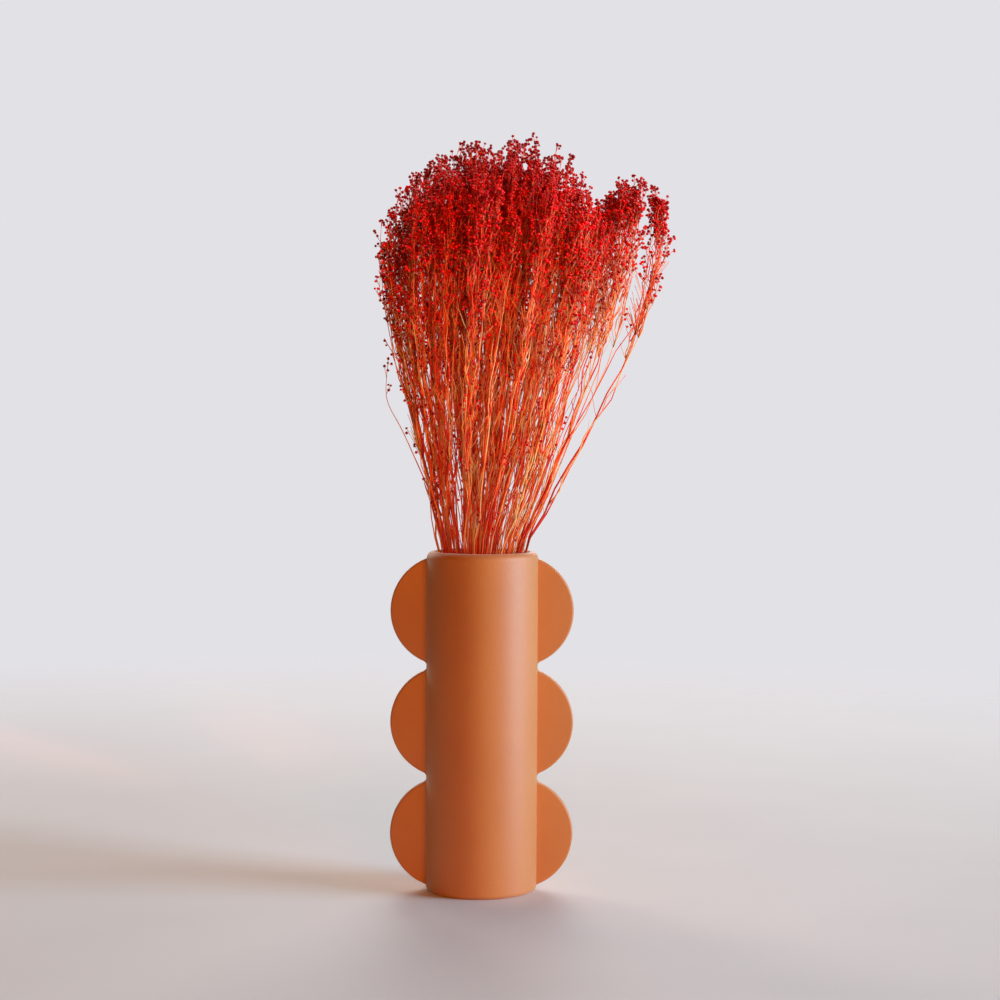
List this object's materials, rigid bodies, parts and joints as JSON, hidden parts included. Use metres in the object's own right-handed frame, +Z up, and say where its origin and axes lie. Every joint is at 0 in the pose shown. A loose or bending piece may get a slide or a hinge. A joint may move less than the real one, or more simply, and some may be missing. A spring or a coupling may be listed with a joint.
{
  "type": "dried broom bloom in vase",
  "caption": "Fanned bunch of dyed dried broom bloom with small round seed heads, standing in a terracotta cylinder vase with a scalloped flat fin on each side.",
  "frame": {"origin": "centre of the vase's foot, on the surface that it stands on", "axes": "+Z up; +X along the fins, towards the side that the bunch leans to; the front faces -Y"},
  "size_m": [0.2067, 0.1235, 0.5346],
  "materials": {
    "terracotta": "matt, unglazed",
    "dyed_bloom": "dried stems dyed orange, seed heads dyed crimson"
  },
  "bodies": {
    "root": {"vase": "terracotta", "spray_01": "dyed_bloom", "spray_02": "dyed_bloom", "spray_03": "dyed_bloom", "spray_04": "dyed_bloom", "spray_05": "dyed_bloom", "spray_06": "dyed_bloom", "spray_07": "dyed_bloom", "spray_08": "dyed_bloom", "spray_09": "dyed_bloom", "spray_10": "dyed_bloom", "spray_11": "dyed_bloom", "spray_12": "dyed_bloom", "spray_13": "dyed_bloom", "spray_14": "dyed_bloom", "spray_15": "dyed_bloom", "spray_16": "dyed_bloom", "spray_17": "dyed_bloom", "spray_18": "dyed_bloom", "spray_19": "dyed_bloom", "spray_20": "dyed_bloom", "spray_21": "dyed_bloom", "spray_22": "dyed_bloom", "spray_23": "dyed_bloom", "spray_24": "dyed_bloom", "spray_25": "dyed_bloom", "spray_26": "dyed_bloom", "spray_27": "dyed_bloom", "spray_28": "dyed_bloom", "spray_29": "dyed_bloom", "spray_30": "dyed_bloom", "spray_31": "dyed_bloom", "spray_32": "dyed_bloom", "spray_33": "dyed_bloom", "spray_34": "dyed_bloom", "spray_35": "dyed_bloom", "spray_36": "dyed_bloom", "spray_37": "dyed_bloom", "spray_38": "dyed_bloom", "spray_39": "dyed_bloom", "spray_40": "dyed_bloom", "spray_41": "dyed_bloom", "spray_42": "dyed_bloom", "spray_43": "dyed_bloom", "spray_44": "dyed_bloom", "spray_45": "dyed_bloom", "spray_46": "dyed_bloom", "spray_47": "dyed_bloom"}
  },
  "joints": []
}
